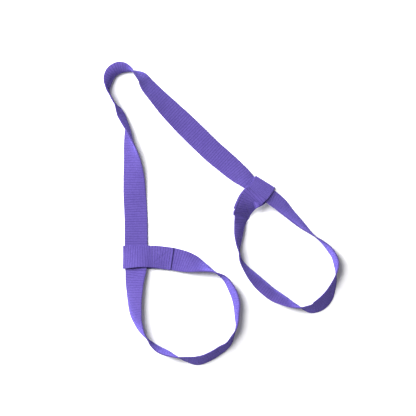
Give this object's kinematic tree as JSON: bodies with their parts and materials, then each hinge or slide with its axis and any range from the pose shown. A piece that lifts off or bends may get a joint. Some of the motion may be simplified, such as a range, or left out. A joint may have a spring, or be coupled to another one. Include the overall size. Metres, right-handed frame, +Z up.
{
  "type": "stretching strap",
  "caption": "Long flat woven strap with an adjustable noose at each end, each made by a sewn end loop that slides along the strap.",
  "frame": {"origin": "middle of the laid-out strap's footprint, on the table that it lies on", "axes": "+Z up from the table, +Y along the laid-out strap's long side, from the two nooses towards the bend"},
  "size_m": [0.3834, 0.5, 0.0381],
  "materials": {
    "strap_webbing": "matt woven cross ribs, plain selvedges",
    "end_loop_webbing": "the same matt woven webbing, folded over and sewn",
    "sewing_thread": "twisted polyester sewing thread, slight sheen"
  },
  "bodies": {
    "strap": {"carry_strap": "strap_webbing", "left_noose_run": "strap_webbing", "right_noose_run": "strap_webbing", "left_noose_return": "strap_webbing", "right_noose_return": "strap_webbing"},
    "left_slider": {"left_end_loop": "end_loop_webbing", "left_needle_thread": "sewing_thread", "left_bobbin_thread": "sewing_thread"},
    "right_slider": {"right_end_loop": "end_loop_webbing", "right_needle_thread": "sewing_thread", "right_bobbin_thread": "sewing_thread"}
  },
  "joints": [
    {"name": "left_slide", "type": "slide", "parent": "strap", "child": "left_slider", "axis": [0, 1, 0], "range_m": [0, 0.04], "deforming": ["left_noose_return"]},
    {"name": "right_slide", "type": "slide", "parent": "strap", "child": "right_slider", "axis": [-0.788, 0.6157, 0], "range_m": [0, 0.028], "deforming": ["right_noose_return"]}
  ]
}
